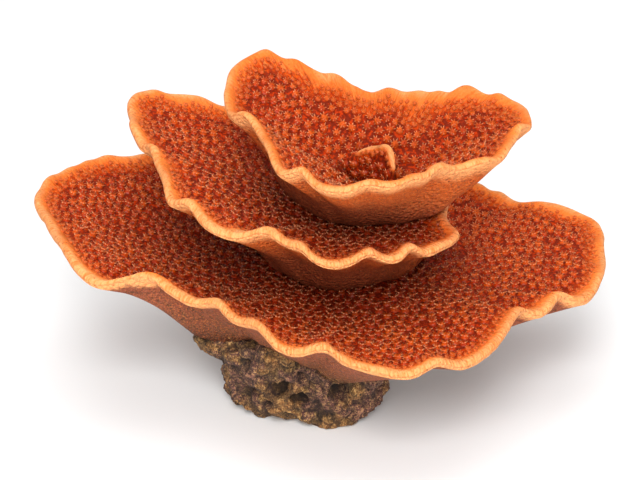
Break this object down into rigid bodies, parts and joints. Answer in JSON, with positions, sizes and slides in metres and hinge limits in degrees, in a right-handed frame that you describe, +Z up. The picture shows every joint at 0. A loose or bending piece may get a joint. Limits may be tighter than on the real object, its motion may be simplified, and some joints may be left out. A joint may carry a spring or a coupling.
{
  "type": "plate montipora coral",
  "caption": "Plate montipora coral colony with nested ruffled plates covered in small polyps, growing on a knobbly lump of reef rock.",
  "frame": {"origin": "middle of the flat underside of the rock", "axes": "+Z up from the ground, +X to the right of the picture along the coral's greatest width, +Y away from the viewer"},
  "size_m": [0.1784, 0.1265, 0.0982],
  "materials": {
    "coral": "living coral skin over a limestone skeleton: red-orange, wet and finely pitted, with a pale orange rim",
    "rock": "porous reef limestone, rough, olive brown with purple crusts"
  },
  "bodies": {
    "root": {"base_rock": "rock", "lower_plate": "coral", "middle_plate": "coral", "upper_plate": "coral", "inner_lobe": "coral"}
  },
  "joints": []
}
